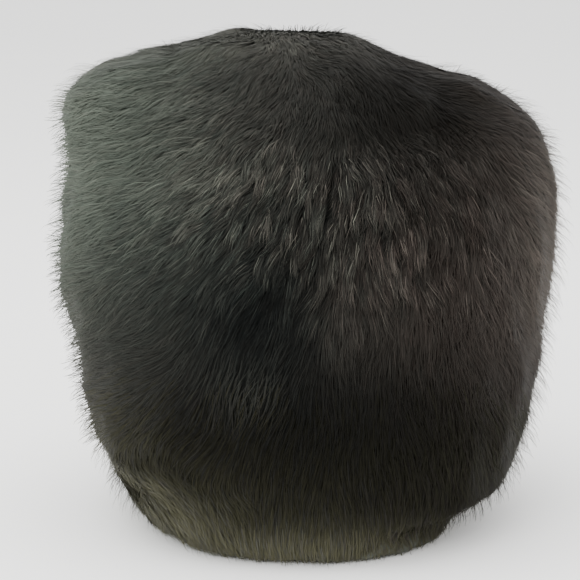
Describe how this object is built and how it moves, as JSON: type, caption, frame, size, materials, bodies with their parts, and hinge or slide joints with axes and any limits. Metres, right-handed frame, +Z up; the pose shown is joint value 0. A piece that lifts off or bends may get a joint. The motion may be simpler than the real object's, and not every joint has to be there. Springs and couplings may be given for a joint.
{
  "type": "hooded fur hat",
  "caption": "Hooded hat of deep fur pelts on a hollow leather body, open below for the head and in front for the face.",
  "frame": {"origin": "middle of the footprint box, on the flat underside of the rim", "axes": "+Z up towards the crown, +X towards the wearer's left, the face opening looks along -Y"},
  "size_m": [0.3134, 0.2876, 0.3081],
  "materials": {
    "leather": "matt",
    "fur_left": "deep fur, soft sheen",
    "fur_right": "deep fur, soft sheen",
    "fur_top": "deep fur, soft sheen",
    "fur_hem": "deep fur, soft sheen",
    "fur_face": "deep fur, soft sheen"
  },
  "bodies": {
    "root": {"leather_body": "leather", "left_pelt": "fur_left", "right_pelt": "fur_right", "top_pelt": "fur_top", "hem_band": "fur_hem", "face_band": "fur_face"}
  },
  "joints": []
}
